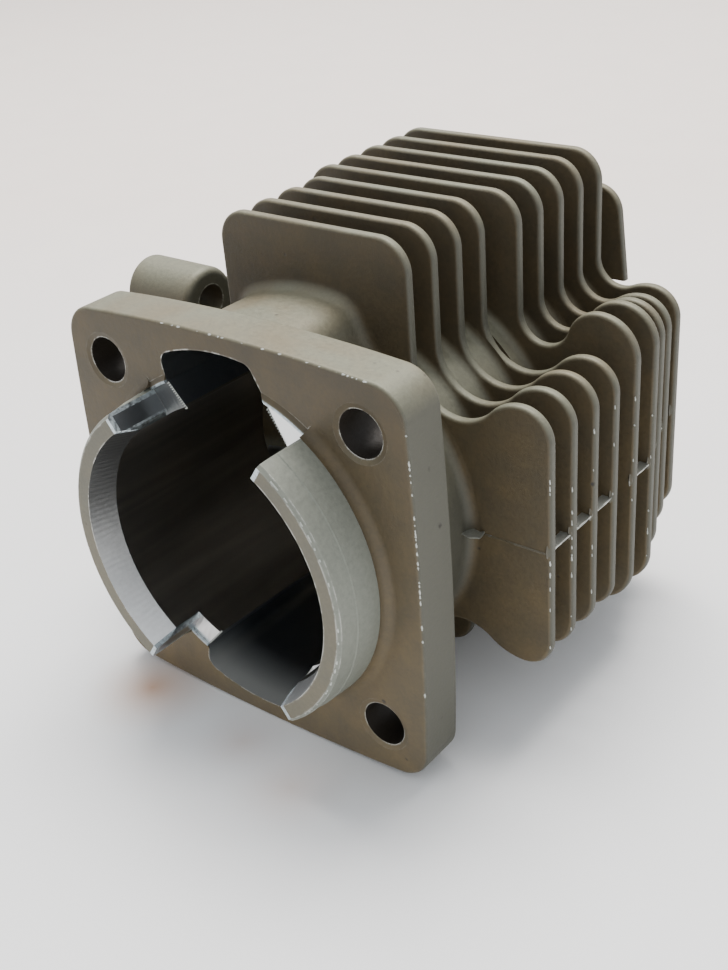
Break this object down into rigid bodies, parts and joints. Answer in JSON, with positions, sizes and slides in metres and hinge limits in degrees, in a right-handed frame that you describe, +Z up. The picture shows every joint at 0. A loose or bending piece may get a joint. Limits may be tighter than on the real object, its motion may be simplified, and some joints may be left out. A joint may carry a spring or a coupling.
{
  "type": "two-stroke engine cylinder",
  "caption": "Air-cooled two-stroke cylinder with its head cast in one: finned barrel, square base flange, split skirt, plated bore and a side exhaust flange.",
  "frame": {"origin": "on the bore axis at the base gasket face, which is also the centre of the four base screw holes", "axes": "+Y along the bore from the base to the head, +Z up as the part lies on its side, +X away from the exhaust"},
  "size_m": [0.0772, 0.08, 0.0695],
  "materials": {
    "cast_aluminium": "dull die-cast aluminium with a grey-brown patina and bright worn edges",
    "hard_chrome": "honed hard chrome bore surface"
  },
  "bodies": {
    "root": {"base_flange": "cast_aluminium", "left_skirt": "cast_aluminium", "right_skirt": "cast_aluminium", "left_barrel_wall": "cast_aluminium", "right_barrel_wall": "cast_aluminium", "port_wall": "cast_aluminium", "barrel_wall": "cast_aluminium", "upper_transfer_duct": "cast_aluminium", "lower_transfer_duct": "cast_aluminium", "fin_01": "cast_aluminium", "fin_02": "cast_aluminium", "fin_03": "cast_aluminium", "fin_04": "cast_aluminium", "fin_05": "cast_aluminium", "fin_06": "cast_aluminium", "fin_07": "cast_aluminium", "fin_08": "cast_aluminium", "fin_09": "cast_aluminium", "fin_10": "cast_aluminium", "exhaust_duct": "cast_aluminium", "exhaust_flange": "cast_aluminium", "exhaust_screw_lugs": "cast_aluminium", "combustion_head": "cast_aluminium", "spark_plug_boss": "cast_aluminium", "bore_plating": "hard_chrome"}
  },
  "joints": []
}
